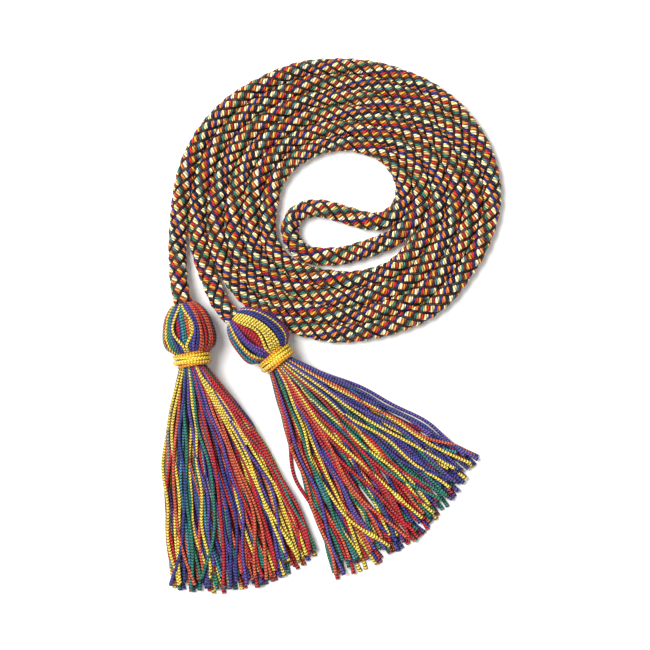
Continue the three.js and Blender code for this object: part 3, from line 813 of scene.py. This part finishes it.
def skirt_threads(side, rng, sections):
    """Paths from the middle of a tassel's waist to the uneven ends of its skirt, the loose ones on top."""
    top = TOP_THREADS[side]
    layer = np.concatenate([np.arange(SKIRT_COUNT) % SKIRT_LAYERS, np.full(len(top), SKIRT_LAYERS)])
    count = len(layer)
    low = np.arange(count) < SKIRT_COUNT
    start = np.concatenate([(np.arange(SKIRT_COUNT) + 0.5) / SKIRT_COUNT, [thread[2] for thread in top]])
    low_reach = np.array(LAYER_REACH)[layer[:SKIRT_COUNT]] + REACH_SPREAD * rng.standard_normal(SKIRT_COUNT)
    reach = np.concatenate([np.minimum(low_reach, LONGEST_REACH), [thread[1] for thread in top]])
    share = np.linspace(0, 1, sections)
    wander = rng.standard_normal((SKIRT_COUNT, 4)) * WANDER
    knots = np.concatenate([start[:SKIRT_COUNT, None] + wander, [thread[2:] for thread in top]])
    knots[:SKIRT_COUNT] = np.clip(knots[:SKIRT_COUNT], 0.0, 1.0)
    places = [np.linspace(0, 1, 4)] + [knots.T[:, thread] * WANDER_SCALE for thread in range(count)]
    soft = smooth_route(np.column_stack(places), 12)
    even = np.linspace(0, 1, len(soft))
    where = np.stack([np.interp(share, even, column / WANDER_SCALE) for column in soft.T[1:]])
    ripple = rng.uniform(0, 1, (count, 1)) + share * rng.uniform(1.5, 3.5, (count, 1))
    where = where + RIPPLE * np.sin(2 * math.pi * ripple) * smooth_step(share * 3)
    u = share[None, :] * reach[:, None]
    edges = []
    for sign, (bow, end) in zip((-1, 1), SKIRT_EDGES[side]):
        root = np.array([sign * 0.40 * WAIST_WIDTH, -TIE_LENGTH / 2])
        bow, end = (np.array(place) * SKIRT_LENGTH for place in (bow, end))
        t = u[..., None]
        edges.append((1 - t) ** 2 * root + 2 * t * (1 - t) * bow + t**2 * end)
    flat = edges[0] + (edges[1] - edges[0]) * where[..., None]
    flat[..., 1] *= 1 + SKIRT_BULGE[side] * np.sin(math.pi * np.clip(where, 0, 1)) * u
    spread = np.clip(2 * start - 1, -1, 1)
    level = np.minimum(layer / SKIRT_LAYERS * 2 - 1, 1)
    packed = level * (WAIST_HEIGHT - THREAD_WIDTH) / 2 * np.sqrt(1 - 0.8 * spread**2)
    laid = 0.5 * THREAD_WIDTH + layer * LAYER_RISE + rng.uniform(0, 0.5, count) * MM * (layer > 0)
    fall = smooth_step(u / 0.5)
    height = (AXIS_HEIGHT + packed[:, None]) * (1 - fall) + laid[:, None] * fall
    outside = smooth_step(np.maximum(-where, where - 1) * 30)
    height = np.maximum(height * (1 - outside) + 0.5 * THREAD_WIDTH * outside, 0.5 * THREAD_WIDTH)
    paths = np.concatenate([flat, height[..., None]], axis=2)
    shown = SKIRT_COLOURS[side]
    names = [shown[int(place * len(shown))] for place in start[:SKIRT_COUNT]]
    names += [thread[0] for thread in top]
    swap_share = np.where(layer == SKIRT_LAYERS - 1, SWAPPED_SHOWN, SWAPPED_HIDDEN)
    swapped = low & (rng.random(count) < swap_share)
    names = [rng.choice(list(SWAPPED_DYES)) if swap else name for name, swap in zip(names, swapped)]
    swell = np.ones((count, sections))
    yellow = [number for number in range(SKIRT_COUNT, count) if names[number] == "y"]
    for knot_along, knot_across in KNOTS[side]:
        section = round(knot_along * (sections - 1))
        knotted = min(yellow, key=lambda number: abs(where[number, section] - knot_across))
        swell[knotted, section - 1 : section + 2] = KNOT_SWELL
    return paths, np.cross((0, 0, 1), -np.gradient(paths, axis=1)), names, swell


TASSEL_SEEDS = {"left": 3, "right": 8}
for side in ("left", "right"):
    rng = np.random.default_rng(TASSEL_SEEDS[side])
    heads, head_sides, head_names = head_threads(side, rng)
    skirt, skirt_sides, skirt_names, swell = skirt_threads(side, rng, heads.shape[1])
    paths = np.concatenate([heads, skirt])
    sides = np.concatenate([head_sides, skirt_sides])
    share = np.linspace(0, 1, heads.shape[1])
    head_width = np.interp(share, (0, 0.25, 0.45, 0.85, 1), (0.55, 0.62, 1, 1, 0.72))
    skirt_width = np.interp(share, (0, 0.06, 0.2, 0.97, 1), (0.62, 0.72, 1, 1, 1.3))
    width = np.concatenate([np.tile(head_width, (len(heads), 1)), skirt_width * swell])
    half = width * THREAD_WIDTH / 2
    grid = tube_grid(to_world(paths, side), to_world_ways(sides, side), half * 0.98, half * 0.92)
    grid[..., 2] = np.maximum(grid[..., 2], FLOOR_GAP)
    colours = np.array([linear_colour(THREAD_DYES[name]) for name in [*head_names, *skirt_names]])
    dyes = corner_dyes(colours, grid.shape[1], THREAD_CORNERS)
    lengths = path_lengths(paths) + np.arange(len(paths))[:, None] * THREAD_APART
    uvs = corner_uvs(lengths, THREAD_CORNERS, THREAD_CORNERS // 2)
    tassel = thread_object(f"tassel_{side}_threads", grid, dyes, uvs, knitted_thread)
    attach(tassel, "root")
    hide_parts(f"tassel_{side}")


# One golden yellow thread of the same kind is wound five times round each tassel's waist
TIE_THICKNESS = 1.3 * MM
TIE_TURNS = 5
TIE_STEPS = 44
# The thread's colour along its length: golden yellow, with painted shade in orange at both ends of the tie
# and a painted highlight in pale yellow on its middle
TIE_LIT_AND_SHADED_DYES = ("#E08A28", "#FFD23C", "#FFE152", "#F8C236", "#DE7E26")
# How far the thread leans along the tassel at the start of each turn and at the end, in millimetres
TIE_TILTS = (0.85, 0.15, -0.55, 0.45, -0.25, 0.70)
# The thread's ends are tucked in under the turns: for how much of a turn, and how deep
TUCKED_TURNS = 0.25
TUCK_DEPTH = 1.2 * MM
TIE_RIPPLE = 0.20 * MM

# The tie's thread has painted shade in its stitch gaps and along its sides, and painted highlights on its
# stitches' crests
golden_thread = yarn_material(
    "golden_knitted_thread",
    line_pitch=STITCH_PITCH,
    slant=STITCH_LEAN,
    line_depth=0.2 * MM,
    line_painted_shade=0.6,
    tone=0.9,
    edge_painted_shade=0.5,
    crest_painted_highlight=0.35,
    streak=1.5 * MM,
    fibre_tone_and_painted_sheen=0.35,
    chevron=True,
)
for side in ("left", "right"):
    turns = np.linspace(-TUCKED_TURNS, TIE_TURNS + TUCKED_TURNS, round(TIE_TURNS * TIE_STEPS))
    from_start = turns + TUCKED_TURNS
    from_end = TIE_TURNS + TUCKED_TURNS - turns
    inward = TUCK_DEPTH * (1 - smooth_step(from_start * 5) * smooth_step(from_end * 5))
    angle = 2 * math.pi * turns + math.pi / 2
    half_turn = TIE_LENGTH / TIE_TURNS / 2
    tilt = np.interp(turns, range(len(TIE_TILTS)), TIE_TILTS) * MM
    swell = TIE_RIPPLE * np.sin(turns * 2.6 * math.pi + 0.6) * smooth_step(from_start * 3)
    y = np.interp(turns, (0, TIE_TURNS), (TIE_LENGTH / 2 - half_turn, half_turn - TIE_LENGTH / 2))
    y = y + tilt * np.cos(angle)
    x = np.cos(angle) * ((WAIST_WIDTH + TIE_THICKNESS) / 2 - inward + swell)
    z = AXIS_HEIGHT + np.sin(angle) * ((WAIST_HEIGHT + TIE_THICKNESS) / 2 - inward + swell)
    paths = np.stack([x, y, z], axis=1)[None]
    sides = np.broadcast_to((0.0, 1.0, 0.0), paths.shape)
    grid = tube_grid(to_world(paths, side), to_world_ways(sides, side), half_turn * 1.1, TIE_THICKNESS / 2)
    # Painted shade at the tie's ends and a painted highlight on its middle, along the thread
    lit_and_shaded = np.array([linear_colour(dye) for dye in TIE_LIT_AND_SHADED_DYES])
    along = np.linspace(0, len(TIE_LIT_AND_SHADED_DYES) - 1, len(turns))
    mixed = [np.interp(along, range(len(TIE_LIT_AND_SHADED_DYES)), column) for column in lit_and_shaded.T]
    colours = np.stack(mixed, axis=1)[None]
    dyes = corner_dyes(colours, len(turns), THREAD_CORNERS)
    uvs = corner_uvs(path_lengths(paths), THREAD_CORNERS, THREAD_CORNERS // 2)
    tie = thread_object(f"tie_{side}_thread", grid, dyes, uvs, golden_thread)
    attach(tie, "root")
    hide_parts(f"tie_{side}")
